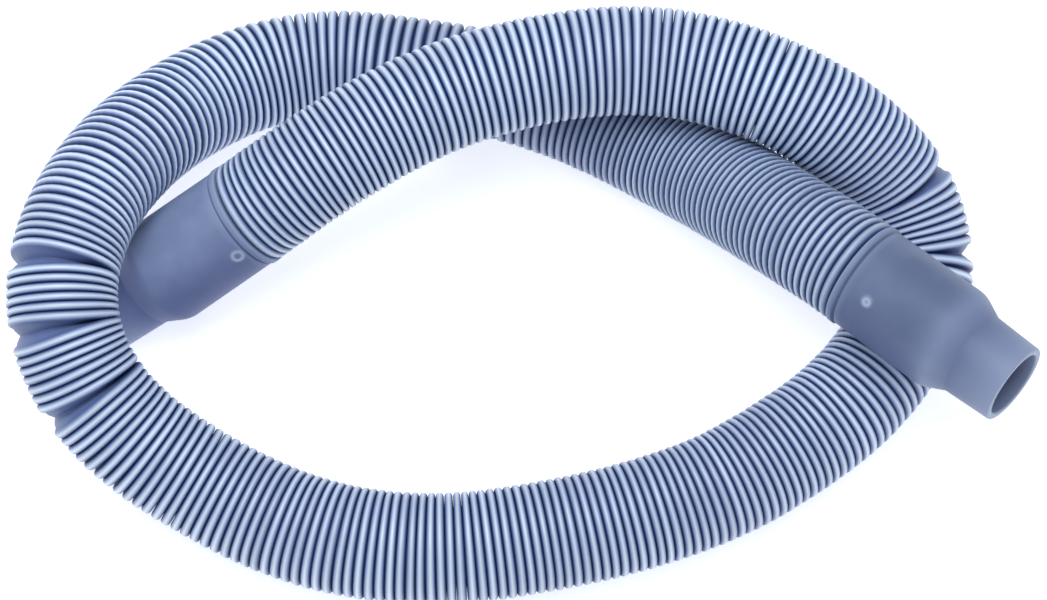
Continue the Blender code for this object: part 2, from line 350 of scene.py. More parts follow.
@dataclass(frozen=True)
class FilmFinish:
    """Thin grey-blue film of the bellows, with a painted highlight on the crests and painted shade, deep
    blue, down in the folds.
    """

    valley_shade_colour: Colour = (0.024, 0.050, 0.150)
    flank_shade_colour: Colour = (0.046, 0.080, 0.200)
    wall_colour: Colour = (0.125, 0.180, 0.360)
    shoulder_colour: Colour = (0.310, 0.415, 0.690)
    crest_highlight_colour: Colour = (0.840, 0.930, 1.000)
    dull_colour: Colour = (0.074, 0.110, 0.225)
    violet_colour: Colour = (0.175, 0.180, 0.360)
    places: tuple[float, ...] = (0.05, 0.28, 0.45, 0.65, 0.95)
    violet_cloud: tuple[float, float] = (0.45, 0.75)
    violet_share: float = 0.35
    crest_roughness: float = 0.34
    wall_roughness: float = 0.50
    gloss_from: float = 0.4
    cloud_scale: float = 22.0
    grain_scale: float = 2200.0
    grain_depth: float = 0.05

    def material(self, name: str) -> bpy.types.Material:
        """Build the film's material.

        Args:
            name: The material's name.

        Returns:
            The material, which reads the attributes crest and tone of its mesh.
        """
        material, nodes, shader = new_material(name)
        crest, tone = nodes.attribute("crest"), nodes.attribute("tone")
        mottle = nodes.mottle(self.cloud_scale, self.grain_scale, self.grain_depth)
        colours = (self.valley_shade_colour, self.flank_shade_colour, self.wall_colour, self.shoulder_colour,
                   self.crest_highlight_colour)
        # Painted highlight and shade: the ramp runs from deep blue in the valleys to pale on the crests.
        folded = nodes.ramp(crest, tuple(zip(self.places, colours)))
        dullness = nodes.add("ShaderNodeMath", {0: 1.0, 1: tone}, operation="SUBTRACT", use_clamp=True)
        violet = nodes.add("ShaderNodeMapRange", {
            "Value": mottle.outputs["Cloud"], "From Min": self.violet_cloud[0],
            "From Max": self.violet_cloud[1], "To Max": self.violet_share})
        tinted = nodes.mix(violet.outputs["Result"], folded, self.violet_colour)
        toned = nodes.mix(dullness.outputs["Value"], tinted, self.dull_colour)
        gloss = nodes.add("ShaderNodeMapRange", {"Value": crest, "From Min": self.gloss_from,
                                                 "To Min": self.wall_roughness,
                                                 "To Max": self.crest_roughness})
        nodes.link(toned, shader.inputs["Base Color"])
        nodes.link(gloss.outputs["Result"], shader.inputs["Roughness"])
        nodes.link(mottle.outputs["Normal"], shader.inputs["Normal"])
        return material


@dataclass(frozen=True)
class CuffFinish:
    """Soft moulded plastic of the cuffs: matte grey-blue and cloudy, with painted violet shade on its
    underside and nose, a painted highlight on the shoulder, and paler at the lip, the body's edge and
    the rim.
    """

    base_colour: Colour = (0.120, 0.152, 0.258)
    pale_colour: Colour = (0.160, 0.198, 0.318)
    edge_colour: Colour = (0.300, 0.360, 0.530)
    painted_shade_colour: Colour = (0.068, 0.094, 0.220)
    mark_colour: Colour = (0.460, 0.500, 0.640)
    cloud_places: tuple[float, float] = (0.38, 0.66)
    roughness: float = 0.48
    specular: float = 0.25
    cloud_scale: float = 45.0
    grain_scale: float = 900.0
    grain_depth: float = 0.16

    def material(self, name: str) -> bpy.types.Material:
        """Build the cuffs' material.

        Args:
            name: The material's name.

        Returns:
            The material, which reads its mesh's attributes for the paler places and the painted shoulder
            highlight, for the painted shade below, and for the white marks.
        """
        material, nodes, shader = new_material(name)
        mottle = nodes.mottle(self.cloud_scale, self.grain_scale, self.grain_depth)
        colour = nodes.ramp(mottle.outputs["Cloud"],
                            tuple(zip(self.cloud_places, (self.base_colour, self.pale_colour))))
        for layer, over in (("painted_shade", self.painted_shade_colour), ("paling_and_highlight", self.edge_colour),
                            ("mark", self.mark_colour)):
            colour = nodes.mix(nodes.attribute(layer), colour, over)
        nodes.link(colour, shader.inputs["Base Color"])
        nodes.link(mottle.outputs["Normal"], shader.inputs["Normal"])
        shader.inputs["Specular IOR Level"].default_value = self.specular
        shader.inputs["Roughness"].default_value = self.roughness
        return material


@dataclass(frozen=True)
class StageFinish:
    """Plain pale floor."""

    colour: Colour = (0.92, 0.92, 0.92)
    glow: float = 0.60
    roughness: float = 0.9
    specular: float = 0.1

    def material(self, name: str) -> bpy.types.Material:
        """Build the floor's material."""
        material, _, shader = new_material(name)
        shader.inputs["Base Color"].default_value = (*self.colour, 1.0)
        shader.inputs["Roughness"].default_value = self.roughness
        shader.inputs["Specular IOR Level"].default_value = self.specular
        shader.inputs["Emission Color"].default_value = (1.0, 1.0, 1.0, 1.0)
        shader.inputs["Emission Strength"].default_value = self.glow
        return material


@dataclass
class Centreline:
    """A smooth line through points, clamped to a direction at each end, measured by its length."""

    points: np.ndarray
    start_direction: np.ndarray
    end_direction: np.ndarray
    samples_per_span: int = 60

    def __post_init__(self) -> None:
        """Sample the line, its headings and its turning."""
        knots = np.concatenate([[0.0], np.cumsum(np.linalg.norm(np.diff(self.points, axis=0), axis=1))])
        bends = self._solve_bends(knots)
        spans = [self._span(knots, bends, i) for i in range(len(self.points) - 1)]
        self.line = np.concatenate([span[0] for span in spans] + [self.points[-1:]])
        slopes = np.concatenate([span[1] for span in spans] + [[self.end_direction]])
        steps = np.linalg.norm(np.diff(self.line, axis=0), axis=1)
        self.distance = np.concatenate([[0.0], np.cumsum(steps)])
        self.length = float(self.distance[-1])
        self.tangents = unit(slopes)
        turns = np.linalg.norm(np.diff(self.tangents, axis=0), axis=1)
        self.turning = np.concatenate([[0.0], np.cumsum(turns)])

    def _solve_bends(self, knots: np.ndarray) -> np.ndarray:
        """Second derivatives of the clamped cubic spline at its points.

        Args:
            knots: Distance of each point along the chords.

        Returns:
            One vector for each point.
        """
        gaps = np.diff(knots)
        slopes = np.diff(self.points, axis=0) / gaps[:, None]
        count = len(self.points)
        matrix = np.zeros((count, count))
        right = np.zeros((count, 3))
        matrix[0, :2] = 2 * gaps[0], gaps[0]
        right[0] = 6 * (slopes[0] - self.start_direction)
        matrix[-1, -2:] = gaps[-1], 2 * gaps[-1]
        right[-1] = 6 * (self.end_direction - slopes[-1])
        for i in range(1, count - 1):
            matrix[i, i - 1:i + 2] = gaps[i - 1], 2 * (gaps[i - 1] + gaps[i]), gaps[i]
            right[i] = 6 * (slopes[i] - slopes[i - 1])
        return np.linalg.solve(matrix, right)

    def _span(self, knots: np.ndarray, bends: np.ndarray, i: int) -> tuple[np.ndarray, np.ndarray]:
        """Points and slopes of the spline from point i up to, and without, point i + 1.

        Args:
            knots: Distance of each point along the chords.
            bends: Second derivatives at the points.
            i: Number of the span's first point.

        Returns:
            The points and the slopes.
        """
        gap = knots[i + 1] - knots[i]
        ahead = np.linspace(0.0, gap, self.samples_per_span, endpoint=False)[:, None]
        behind = gap - ahead
        start = self.points[i] / gap - bends[i] * gap / 6
        end = self.points[i + 1] / gap - bends[i + 1] * gap / 6
        curve = (bends[i] * behind ** 3 + bends[i + 1] * ahead ** 3) / (6 * gap)
        slope = (bends[i + 1] * ahead ** 2 - bends[i] * behind ** 2) / (2 * gap)
        return curve + start * behind + end * ahead, slope + end - start

    def heading(self, at: np.ndarray) -> np.ndarray:
        """Unit tangents at distances along the line, those of its ends past them."""
        return unit(np.stack([np.interp(at, self.distance, axis) for axis in self.tangents.T], axis=-1))

    def place(self, at: np.ndarray) -> np.ndarray:
        """Points at distances along the line, on its straight ends where they are past them."""
        at = np.asarray(at, float)
        inside = np.clip(at, 0.0, self.length)
        on_line = np.stack([np.interp(inside, self.distance, axis) for axis in self.line.T], axis=-1)
        return on_line + self.heading(inside) * (at - inside)[..., None]

    def turned(self, at: np.ndarray) -> np.ndarray:
        """Angles in radians through which the line has turned by distances along it."""
        return np.interp(at, self.distance, self.turning)


@dataclass(frozen=True)
class CuffSizes:
    """Sizes of a moulded cuff, from the hose towards the nose."""

    hose_radius: float = 15.0 * MM
    step: float = 0.4 * MM
    wall: float = 2.6 * MM
    flare: float = 0.2 * MM
    lip_width: float = 2.0 * MM
    lip_groove: float = 0.4 * MM
    lip_rounding: float = 0.4 * MM
    body_length: float = 33.3 * MM
    shoulder_radius: float = 8.0 * MM
    cone_length: float = 4.5 * MM
    neck_rounding: float = 1.5 * MM
    spigot_length: float = 13.7 * MM
    spigot_radius: float = 11.8 * MM
    spigot_taper: float = 0.5 * MM
    spigot_wall: float = 2.6 * MM
    rim_rounding: float = 0.6 * MM
    seat_depth: float = 24.0 * MM
    seat_gap: float = 0.3 * MM
    plain_end_wall: float = 1.4 * MM
    cad_sides: int = 32

    @property
    def length(self) -> float:
        """Whole length of the cuff."""
        return self.body_length + self.cone_length + self.spigot_length

    @property
    def body_radius(self) -> float:
        """Outer radius of the body beside the lip."""
        return self.hose_radius - self.step

    @property
    def socket_radius(self) -> float:
        """Radius of the socket that holds the hose's plain end."""
        return self.body_radius - self.wall

    @property
    def plain_end_radius(self) -> float:
        """Outer radius of the hose's plain end."""
        return self.socket_radius - self.seat_gap

    @property
    def tip_radius(self) -> float:
        """Outer radius at the nose's rim."""
        return self.spigot_radius - self.spigot_taper

    @property
    def bore_radius(self) -> float:
        """Radius of the nose's bore."""
        return self.spigot_radius - self.spigot_wall

    @property
    def shoulder_start(self) -> float:
        """Place along the axis at which the body starts to round off."""
        return self.body_length - self.shoulder_radius / 2

    @property
    def cone_end(self) -> float:
        """Place along the axis at which the nose starts."""
        return self.body_length + self.cone_length

    @property
    def cone_slope(self) -> float:
        """Slope in degrees of the cone, which touches the shoulder's and the neck's rounding."""
        roundings = self.shoulder_radius + self.neck_rounding
        run = self.cone_end - self.shoulder_start
        drop = roundings - (self.body_radius + self.flare - self.spigot_radius)
        return math.degrees(math.atan2(run, drop) - math.acos(roundings / math.hypot(run, drop)))

    def resting_rise(self, start_height: float) -> float:
        """Rise at which the nose rests its rim on the table.

        Args:
            start_height: Height of the cuff's hose end above the table.

        Returns:
            The rise in degrees, negative where the nose points down.
        """
        rise = 0.0
        rounding_centre = self.tip_radius - self.rim_rounding
        for _ in range(SETTLING_ROUNDS):
            rim_height = rounding_centre * math.cos(rise) + self.rim_rounding
            rise = -math.asin((start_height - rim_height) / (self.length - self.rim_rounding))
        return math.degrees(rise)


@dataclass
class Cuff:
    """One moulded cuff, with its lip, shoulder, nose and gate mark.

    The gate values shape the raised ring and its pip, and the white ones the pale ring on it.
    The paling and the painted highlight run from 0 to 1, and low_edge is the way that the underside with
    its painted shade faces.
    """

    end: End
    place: Vector
    facing: Vector
    finish: CuffFinish
    gate_along: float
    gate_turn: float
    sizes: CuffSizes = field(default_factory=CuffSizes)
    sides: int = 112
    body_step: float = 1.9 * MM
    soft_steps: int = 4
    shoulder_steps: int = 9
    neck_steps: int = 6
    rim_steps: int = 5
    groove_share: float = 0.6
    sharp_angle: float = 50.0
    gate_radius: float = 1.5 * MM
    gate_height: float = 0.22 * MM
    gate_reach: float = 3.0 * MM
    gate_cuts: int = 7
    gate_ring_width: float = 0.42 * MM
    gate_pip_width: float = 0.525 * MM
    gate_pip_share: float = 0.8
    white_radius: float = 0.8 * MM
    white_width: float = 0.7 * MM
    white_share: float = 0.85
    lip_paling: float = 0.8
    lip_paling_width: float = 1.26 * MM
    edge_paling: float = 0.4
    edge_place: float = 3.0 * MM
    edge_width: float = 0.36 * MM
    rim_paling_width: float = 1.53 * MM
    rim_whiteness: float = 0.35
    shoulder_highlight: float = 0.5
    nose_shade: float = 0.0
    low_edge: tuple[float, float, float] = (0.0, -0.92, -0.39)
    low_edge_power: float = 1.5

    @property
    def frame_matrix(self) -> Matrix:
        """Matrix from the cuff's own frame, X towards the nose, to the part's."""
        side = self.facing.cross(UP).normalized()
        turn = Matrix((self.facing, -side, self.facing.cross(-side))).transposed()
        return Matrix.Translation(self.place) @ turn.to_4x4()

    @property
    def gate_centre(self) -> Vector:
        """Middle of the gate mark, in the cuff's own frame."""
        radius = self.sizes.body_radius + self.sizes.flare * self.gate_along / self.sizes.body_length
        return ring_point(self.gate_along, radius, math.radians(self.gate_turn))

    def cad_box(self) -> tuple[Vector, Vector]:
        """Lowest and highest corner of the cuff's faceted solid, at this cuff's place."""
        sizes = self.sizes
        flared = sizes.body_radius + sizes.flare
        rings = ((0.0, sizes.hose_radius), (sizes.lip_width + sizes.lip_groove, sizes.body_radius),
                 (sizes.shoulder_start, flared),
                 (sizes.length - sizes.rim_rounding, sizes.tip_radius),
                 (sizes.length, sizes.tip_radius - sizes.rim_rounding))
        turns = [2 * math.pi * k / sizes.cad_sides for k in range(sizes.cad_sides)]
        corners = np.array([self.frame_matrix @ ring_point(along, radius, turn)
                            for along, radius in rings for turn in turns])
        return Vector(corners.min(axis=0)), Vector(corners.max(axis=0))

    def outline(self) -> list[tuple[float, float]]:
        """Closed outline as (place along the axis, radius), from the lip to the socket."""
        s = self.sizes
        flared = s.body_radius + s.flare
        lip_end = s.lip_width + s.lip_groove
        soft = s.lip_rounding
        points = arc((soft, s.hose_radius - soft), soft, 180, 90, self.soft_steps)
        points += arc((s.lip_width - soft, s.hose_radius - soft), soft, 90, 0, self.soft_steps)
        points.append((s.lip_width + s.lip_groove / 2,
                       s.body_radius - s.lip_groove * self.groove_share))
        points += arc((lip_end + soft, s.body_radius - soft), soft, 180, 90, self.soft_steps)
        rows = round((s.shoulder_start - lip_end - soft) / self.body_step)
        for share in np.linspace(0.0, 1.0, rows + 1)[1:-1]:
            along = lip_end + soft + share * (s.shoulder_start - lip_end - soft)
            points.append((along, s.body_radius + share * s.flare))
        points += arc((s.shoulder_start, flared - s.shoulder_radius), s.shoulder_radius,
                      90, 90 - s.cone_slope, self.shoulder_steps)
        points += arc((s.cone_end, s.spigot_radius + s.neck_rounding), s.neck_rounding,
                      270 - s.cone_slope, 270, self.neck_steps)
        rim = s.length - s.rim_rounding
        points += arc((rim, s.tip_radius - s.rim_rounding), s.rim_rounding, 90, 0, self.rim_steps)
        points += arc((rim, s.bore_radius + s.rim_rounding), s.rim_rounding, 0, -90, self.rim_steps)
        points += [(s.cone_end, s.bore_radius), (s.body_length, s.socket_radius - s.plain_end_wall),
                   (s.seat_depth + s.seat_gap, s.socket_radius - s.plain_end_wall),
                   (s.seat_depth + s.seat_gap, s.socket_radius), (0.0, s.socket_radius)]
        return points

    def _press_gate_mark(self, work: bmesh.types.BMesh) -> None:
        """Raise the small ring that the mould's gate leaves on the body.

        Args:
            work: The cuff in its own frame.
        """
        centre = self.gate_centre
        near = [edge for edge in work.edges
                if all((corner.co - centre).length < self.gate_reach + self.body_step
                       for corner in edge.verts)]
        bmesh.ops.subdivide_edges(work, edges=near, cuts=self.gate_cuts, use_grid_fill=True)
        for corner in work.verts:
            away = (corner.co - centre).length
            if away < self.gate_reach:
                across = math.hypot(corner.co.y, corner.co.z)
                ring = math.exp(-((away - self.gate_radius) / self.gate_ring_width) ** 2)
                pip = self.gate_pip_share * math.exp(-(away / self.gate_pip_width) ** 2)
                grown = (across + self.gate_height * (ring + pip)) / across
                corner.co.y *= grown
                corner.co.z *= grown

    def _paint_tones(self, work: bmesh.types.BMesh) -> None:
        """Write where the cuff is paler at its lip, edge and rim, where a highlight is painted on its
        shoulder, where shade is painted on its underside and nose, and where it is white at the gate
        mark and rim.

        Args:
            work: The cuff in its own frame.
        """
        s = self.sizes
        paling_and_highlight, painted_shade, mark = (work.verts.layers.float.new(name) for name in ("paling_and_highlight", "painted_shade", "mark"))
        low_edge = self.frame_matrix.to_3x3().inverted() @ Vector(self.low_edge)
        for corner in work.verts:
            along = corner.co.x
            across = math.hypot(corner.co.y, corner.co.z)
            if across < s.bore_radius * 0.99:
                continue
            # The lip, the body's edge and the rim are paler; the shoulder has a painted highlight.
            lip = self.lip_paling * math.exp(-(along / self.lip_paling_width) ** 2)
            edge = self.edge_paling * math.exp(-((along - self.edge_place) / self.edge_width) ** 2)
            rim_away = math.hypot(along - s.length, across - (s.tip_radius + s.bore_radius) / 2)
            rim = math.exp(-(rim_away / self.rim_paling_width) ** 2)
            shoulder = self.shoulder_highlight * math.exp(-((along - s.body_length) / s.cone_length) ** 2)
            # Painted shade: darker where the body faces low_edge, and on the nose.
            facing = Vector((0.0, corner.co.y, corner.co.z)).dot(low_edge) / across
            nose = self.nose_shade * min(1.0, max(0.0, (along - s.shoulder_start) / s.cone_length))
            ring = ((corner.co - self.gate_centre).length - self.white_radius) / self.white_width
            corner[paling_and_highlight] = min(1.0, lip + edge + rim + shoulder)
            corner[painted_shade] = max(max(0.0, facing) ** self.low_edge_power, nose)
            corner[mark] = max(self.white_share * math.exp(-ring ** 2), self.rim_whiteness * rim)

    def build(self) -> bpy.types.Object:
        """Build and dress the cuff, and let it stand for its CAD node.

        Returns:
            The cuff.
        """
        work = spin_profile(self.outline(), self.sides)
        self._press_gate_mark(work)
        self._paint_tones(work)
        bmesh.ops.transform(work, matrix=self.frame_matrix, verts=work.verts)
        piece = finish_mesh(work, self.end.value + "_moulding", sharp=self.sharp_angle)
        piece.data.materials.append(self.finish.material(self.end.value + "_plastic"))
        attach(piece, ROOT_BODY)
        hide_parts(self.end.value)
        log.info("%s: %d faces", piece.name, len(piece.data.polygons))
        return piece


@dataclass
class Bellows:
    """The corrugated hose: folds nearly shut, some popped open on the outside of the bends.

    Each of wall_rows gives, for a popped fold's wall, the bead foot's share of the place, the
    share of the bulge, and the tints before and after the root, which paint the wall before
    the root lighter than the one after it as painted light and shade.
    """

    line: Centreline
    finish: FilmFinish
    cuff: CuffSizes = field(default_factory=CuffSizes)
    crest_radius: float = 15.0 * MM
    fold_wall: float = 5.0 * MM
    closed_pitch: float = 1.33 * MM
    root_wall: float = 1.2 * MM
    throat_length: float = 2.5 * MM
    pop_reach: float = 11.0 * MM
    pop_sharpness: float = 2.4
    bead_share: float = 0.47
    bead_widest: float = 1.35 * MM
    bead_depth: float = 1.1 * MM
    bead_steepness: float = 1.25
    bead_turns: tuple[float, ...] = (35.0, 65.0, 90.0)
    bead_shades: tuple[float, ...] = (0.63, 0.22, 0.05)
    wall_shade: float = 0.45
    wall_bulge: float = 0.3 * MM
    open_gap: float = 2.0 * MM
    wall_rows: tuple[tuple[float, float, float, float], ...] = (
        (0.55, 1.0, 1.05, 0.95), (0.12, 0.3, 0.95, 0.90))
    shut_root_shade: float = 0.8
    open_root_shade: float = 0.7
    end_bead_width: float = 1.53 * MM
    bore_step: float = 9.0 * MM
    plain_step: float = 6.0 * MM
    fine_steps: int = 4000
    path_points: int = 240
    plain_tone: float = 0.5
    sides: int = 36
    seed: int = 11
    uneven_place: float = 0.07 * MM
    uneven_radius: float = 0.12 * MM
    uneven_lean: float = 0.005
    uneven_tone: float = 0.05

    def __post_init__(self) -> None:
        """Work out the popped folds."""
        self.pops = [(share * self.line.length, width * self.fold_wall, opening * self.fold_wall)
                     for share, width, opening in POPPED_FOLDS]
        shut = math.sqrt(self.fold_wall ** 2 - (self.closed_pitch / 2) ** 2)
        self.bore_radius = self.crest_radius - shut - self.root_wall
        self.rng = np.random.default_rng(self.seed)

    def _reach(self, index: int, side: int) -> float:
        """How far a popped fold crowds its neighbours on one side of it.

        Args:
            index: Number of the popped fold.
            side: -1 towards the left cuff, 1 towards the right one.

        Returns:
            The reach along the line.
        """
        neighbour = index + side
        if 0 <= neighbour < len(self.pops):
            return min(self.pop_reach, abs(self.pops[neighbour][0] - self.pops[index][0]) / 2)
        return self.pop_reach

    def _crests(self) -> np.ndarray:
        """Distances of all crests along the line."""
        fine = np.linspace(0.0, self.line.length, self.fine_steps)
        bend = np.gradient(self.line.turned(fine), fine) * self.crest_radius
        opened = np.interp(fine / self.line.length, *zip(*FOLD_PITCHES))
        folds_per_metre = 1 / (self.closed_pitch * np.maximum(opened, 1 / (1 - bend)))
        steps = np.diff(fine) * (folds_per_metre[:-1] + folds_per_metre[1:]) / 2
        folds = np.concatenate([[0.0], np.cumsum(steps)])
        first = self.cuff.seat_gap + self.closed_pitch
        edges = [first]
        for centre, width, _ in self.pops:
            edges += [centre - width / 2, centre + width / 2]
        edges.append(self.line.length - first)
        places = []
        for start, end in zip(edges[::2], edges[1::2]):
            begin, finish = np.interp([start, end], fine, folds)
            count = max(1, round(finish - begin))
            places += list(np.interp(np.linspace(begin, finish, count + 1), folds, fine))
        return np.array(places)

    def _push(self, at: float, outward: np.ndarray) -> np.ndarray:
        """How far the popped folds push the points of a crest along the line.

        Args:
            at: Distance of the crest along the line.
            outward: Outward unit vector of each of its points.

        Returns:
            The push of each point.
        """
        pushed = np.zeros(len(outward))
        for index, (centre, width, opening) in enumerate(self.pops):
            side = 1 if at > centre else -1
            reach = self._reach(index, side)
            away = abs(at - centre)
            if away < reach:
                before, after = self.line.heading(np.array([centre - width, centre + width]))
                facing = (1 - outward @ unit(after - before)) / 2
                fading = (reach - away) / (reach - width / 2)
                pushed += side * opening / 2 * facing ** self.pop_sharpness * fading
        return pushed

    def _circles(self, headings: np.ndarray) -> np.ndarray:
        """Unit vectors square to headings, the first of each ring as near down as it can be.

        Args:
            headings: One unit vector for each ring.

        Returns:
            The outward unit vectors of every ring's corners.
        """
        side = unit(np.cross(headings, np.array(UP)))
        down = np.cross(headings, side)
        turns = 2 * np.pi * np.arange(self.sides) / self.sides
        return down[:, None] * np.cos(turns)[:, None] + side[:, None] * np.sin(turns)[:, None]

    def _plain_rings(self, stations: list[tuple[float, float]]) -> np.ndarray:
        """Plain round rings of the hose.

        Args:
            stations: Distance along the line and radius of each ring.

        Returns:
            The rings' corners.
        """
        at = np.array([station[0] for station in stations])
        radii = np.array([station[1] for station in stations])
        headings = self.line.heading(np.clip(at, 0.0, self.line.length))
        return self.line.place(at)[:, None] + self._circles(headings) * radii[:, None, None]

    def _bead_side(self, tip: np.ndarray, outward: np.ndarray, along: np.ndarray,
                   width: np.ndarray, gap: np.ndarray) -> list[tuple[np.ndarray, np.ndarray]]:
        """Rings of one side of a crest's rounded bead, from its tip down.

        Args:
            tip: Tip of each corner.
            outward: Outward unit vector of each corner.
            along: Unit vector towards the next crest.
            width: Half width of the bead at each corner.
            gap: Room that is left between this bead and the next one.

        Returns:
            The rings, and how near each corner is to a crest, from 0 in a valley to 1.
        """
        depth = np.minimum(self.bead_depth, self.bead_steepness * width)
        openness = np.clip(gap[:, 0] / self.open_gap, 0.0, 1.0)
        rings = []
        for turn, shade in zip(np.radians(self.bead_turns), self.bead_shades):
            ring = tip + along * width * math.sin(turn) - outward * depth * (1 - math.cos(turn))
            rings.append((ring, np.maximum(shade, self.wall_shade * openness)))
        return rings

    def _valley(self, foot_a: np.ndarray, foot_b: np.ndarray, root: np.ndarray, out: np.ndarray,
                gap: np.ndarray) -> list[tuple[np.ndarray, np.ndarray]]:
        """Rings between two beads: one root in a shut fold, bulging walls in a popped one.

        Args:
            foot_a: Foot of the bead before the fold.
            foot_b: Foot of the bead after it.
            root: Root of the fold.
            out: Outward unit vector of each corner.
            gap: Room between the beads.

        Returns:
            The rings, and how near each corner is to a crest.
        """
        openness = np.clip(gap[:, 0] / self.open_gap, 0.0, 1.0)
        shade = self.wall_shade * openness
        if gap.max() < self.open_gap:
            return [(root, self.shut_root_shade * shade)]
        bulge = out * self.wall_bulge * openness[:, None]
        # Painted light and shade: the wall before the root is tinted lighter than the one after.
        before = [(foot_a * share + root * (1 - share) + bulge * swell, tint * shade)
                  for share, swell, tint, _ in self.wall_rows]
        after = [(foot_b * share + root * (1 - share) + bulge * swell, tint * shade)
                 for share, swell, _, tint in self.wall_rows]
        return before + [(root, self.open_root_shade * shade)] + after[::-1]

    def _fold_rings(self) -> tuple[np.ndarray, np.ndarray, np.ndarray]:
        """Rings of all the folds: crest beads, walls and roots.

        Returns:
            The rings' corners, how near each corner is to a crest, from 0 at a root to 1, and
            the tone of each ring.
        """
        places = self._crests()
        count = len(places)
        headings = self.line.heading(places)
        pushes = np.array([self._push(at, outward)
                           for at, outward in zip(places, self._circles(headings))])
        uneven = places + self.rng.uniform(-1, 1, count) * self.uneven_place
        leaning = unit(headings + self.rng.normal(0, self.uneven_lean, (count, 3)))
        radii = self.crest_radius - self.rng.uniform(0, 1, count) * self.uneven_radius
        outward = self._circles(leaning)
        tips = (self.line.place(uneven)[:, None] + outward * radii[:, None, None]
                + headings[:, None] * pushes[..., None])
        tones = np.interp(places / self.line.length, *zip(*FILM_TONES))
        tones += self.rng.normal(0, self.uneven_tone, count)

        first = self._end_bead(tips[0], outward[0], -headings[0])
        last = self._end_bead(tips[-1], outward[-1], headings[-1])
        rows = first[::-1]
        tone = [tones[0]] * len(first)
        crest = np.ones(self.sides)
        for i in range(count - 1):
            chord = tips[i + 1] - tips[i]
            span = np.linalg.norm(chord, axis=-1, keepdims=True)
            along = chord / span
            out = unit(outward[i] + outward[i + 1])
            out = unit(out - along * np.sum(out * along, axis=-1, keepdims=True))
            root = (tips[i] + tips[i + 1]) / 2 - out * np.sqrt(self.fold_wall ** 2 - (span / 2) ** 2)
            width = np.minimum(self.bead_share * span, self.bead_widest)
            gap = span - 2 * width
            before = self._bead_side(tips[i], outward[i], along, width, gap)
            after = self._bead_side(tips[i + 1], outward[i + 1], -along, width, gap)
            fold = ([(tips[i], crest)] + before
                    + self._valley(before[-1][0], after[-1][0], root, out, gap) + after[::-1])
            rows += fold
            tone += list(np.linspace(tones[i], tones[i + 1], len(fold)))
        rows += [(tips[-1], crest)] + last
        tone += [tones[-1]] * (1 + len(last))
        rings, nearness = zip(*rows)
        return np.array(rings), np.array(nearness), np.array(tone)

    def _end_bead(self, tip: np.ndarray, outward: np.ndarray,
                  along: np.ndarray) -> list[tuple[np.ndarray, np.ndarray]]:
        """Rings of the side of an end crest that faces its cuff, from its tip down."""
        width = np.full((self.sides, 1), self.end_bead_width)
        return self._bead_side(tip, outward, along, width, np.zeros((self.sides, 1)))

    def _plain_end(self, start: float, end: float, radius: float) -> list[tuple[float, float]]:
        """Evenly spaced stations of a plain stretch, as distance along the line and radius."""
        count = max(1, round(abs(end - start) / self.plain_step))
        return [(at, radius) for at in np.linspace(start, end, count + 1)]

    def _bore_stations(self) -> list[tuple[float, float]]:
        """Distance along the line and radius of the bore's rings, from the right end back."""
        wide = self.cuff.plain_end_radius - self.cuff.plain_end_wall
        throat = self.throat_length / 2
        end, depth = self.line.length, self.cuff.seat_depth
        count = round((end - 2 * throat) / self.bore_step)
        inner = [(at, self.bore_radius) for at in np.linspace(end - throat / 2, throat / 2, count + 1)]
        return (self._plain_end(end + depth, end + throat, wide) + inner
                + self._plain_end(-throat, -depth, wide))

    def build(self) -> bpy.types.Object:
        """Build and dress the hose, and let it stand for its CAD node.

        Returns:
            The hose.
        """
        end = self.line.length
        depth, gap, radius = self.cuff.seat_depth, self.cuff.seat_gap, self.cuff.plain_end_radius
        folds, nearness, tone = self._fold_rings()
        left = self._plain_rings(self._plain_end(-depth, gap, radius))
        right = self._plain_rings(self._plain_end(end - gap, end + depth, radius))
        bore = self._plain_rings(self._bore_stations())
        rings = np.concatenate([left, folds, right, bore])
        around = (len(left), len(right) + len(bore))
        nearness = np.pad(nearness, (around, (0, 0)), constant_values=self.wall_shade)
        tone = np.pad(tone, around, constant_values=self.plain_tone)

        work = spin_profile([(float(number), 1.0) for number in range(len(rings))], self.sides)
        # The crest attribute carries the painted highlights and shade of the folds.
        crest_layer = work.verts.layers.float.new("crest")
        tone_layer = work.verts.layers.float.new("tone")
        for corner in work.verts:
            number = round(corner.co.x)
            step = round(math.atan2(corner.co.z, corner.co.y) / (2 * math.pi / self.sides)) % self.sides
            corner.co = rings[number, step]
            corner[crest_layer] = nearness[number, step]
            corner[tone_layer] = tone[number]
        piece = finish_mesh(work, "folded_hose")
        piece.data.materials.append(self.finish.material("hose_film"))
        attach(piece, ROOT_BODY)
        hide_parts("bellows_hose")
        log.info("%s: %d faces, %d crests", piece.name, len(piece.data.polygons), len(self._crests()))
        return piece

    def declare(self) -> None:
        """Work out points along the hose's line from the middle of one seat to the other's; they are not
        used further.
        """
        inside = self.cuff.seat_depth / 2
        path = self.line.place(np.linspace(-inside, self.line.length + inside, self.path_points))


